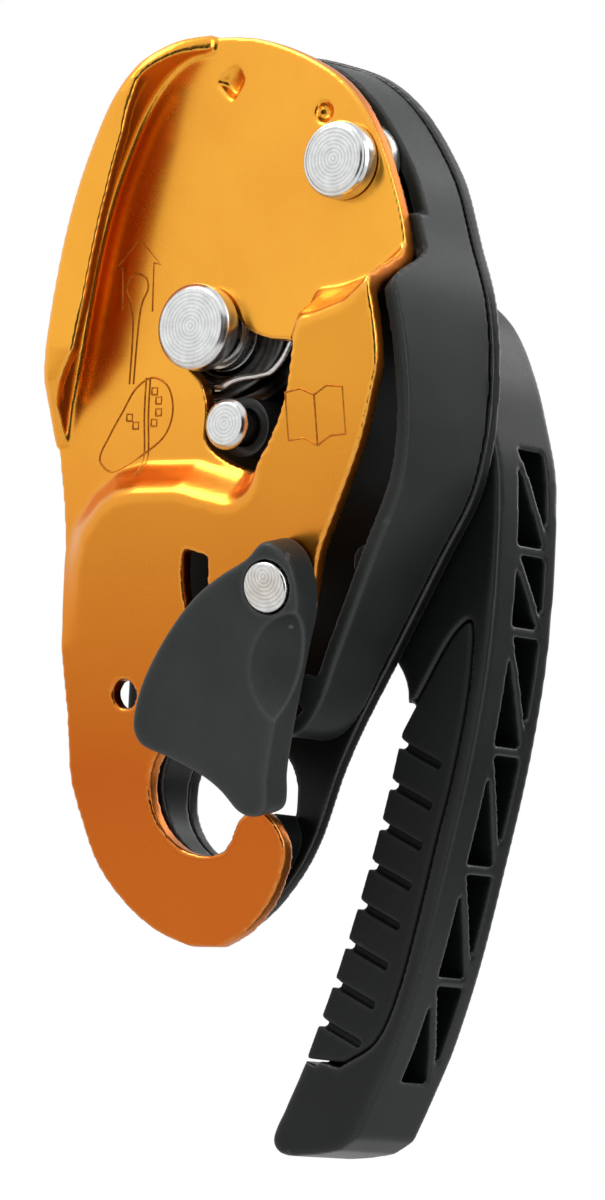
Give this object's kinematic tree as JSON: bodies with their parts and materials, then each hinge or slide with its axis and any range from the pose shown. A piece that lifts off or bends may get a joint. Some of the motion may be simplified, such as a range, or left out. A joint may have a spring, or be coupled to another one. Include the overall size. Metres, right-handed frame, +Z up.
{
  "type": "self-braking rope descender",
  "caption": "Hand-held rope descender: orange pressed side plate that swings open, rope cam, hook eye with sprung gate, black wall and long ribbed release handle.",
  "frame": {"origin": "centre of the attachment eye, half-way through the device's thickness there", "axes": "+Z up along the device from the attachment eye to the rope end, +X to the right seen from the front (moving plate) side, +Y backwards towards the handle"},
  "size_m": [0.0728, 0.0508, 0.1784],
  "materials": {
    "orange_aluminium": "glossy orange anodised, scuffed and darker on the cut edges",
    "black_aluminium": "satin black anodised",
    "moulded_black": "moulded black, fine texture with glossy worn edges",
    "gate_grey": "dark grey, grained",
    "grip_black": "matt soft black",
    "dark_steel": "dark hardened steel, polished in the groove",
    "steel": "bare turned steel with fine turning rings"
  },
  "bodies": {
    "frame": {"fixed_side_plate": "black_aluminium", "side_housing": "moulded_black", "attachment_spacer": "black_aluminium", "friction_plate": "steel", "tab_rivet_1": "steel", "tab_rivet_2": "steel", "housing_screw_1": "steel", "housing_screw_2": "steel", "housing_screw_3": "steel", "housing_screw_4": "steel", "housing_screw_5": "steel", "cam_axle": "steel", "catch_stud": "steel", "stud_ring": "black_aluminium", "spring_post": "steel", "cam_return_spring": "steel", "cam_washer": "steel", "plate_pivot_rivet": "steel", "pivot_washer": "steel", "pivot_bush": "steel", "hub_washer": "steel", "axle_nut": "steel", "handle_return_spring": "steel"},
    "cam": {"cam": "dark_steel", "cam_bush": "steel", "cam_pin": "steel"},
    "plate": {"moving_side_plate": "orange_aluminium", "gate_rivet": "steel", "gate_spring": "steel"},
    "gate": {"safety_gate": "gate_grey", "gate_stop_pin": "steel"},
    "handle": {"handle_lever": "moulded_black", "handle_grip": "grip_black", "release_collar": "steel"}
  },
  "joints": [
    {"name": "plate_swing", "type": "hinge", "parent": "frame", "child": "plate", "pos_m": [0.0256, -0.011, 0.1001], "axis": [0, 1, 0], "range_deg": [0, 90]},
    {"name": "gate_turn", "type": "hinge", "parent": "plate", "child": "gate", "pos_m": [0.0212, -0.01468, 0.0332], "axis": [0, 0.9766, 0.2149], "range_deg": [0, 30], "stiffness_Nm_per_rad": 0.02, "springref_deg": -34.38, "deforming": ["gate_spring"]},
    {"name": "cam_turn", "type": "hinge", "parent": "frame", "child": "cam", "pos_m": [0, 0, 0.074], "axis": [0, 1, 0], "range_deg": [0, 25], "stiffness_Nm_per_rad": 0.05, "springref_deg": -34.38, "deforming": ["cam_return_spring"]},
    {"name": "handle_turn", "type": "hinge", "parent": "frame", "child": "handle", "pos_m": [0, 0.015, 0.074], "axis": [0, -1, 0], "range_deg": [0, 130], "stiffness_Nm_per_rad": 0.08, "springref_deg": -57.3, "deforming": ["handle_return_spring"]}
  ]
}
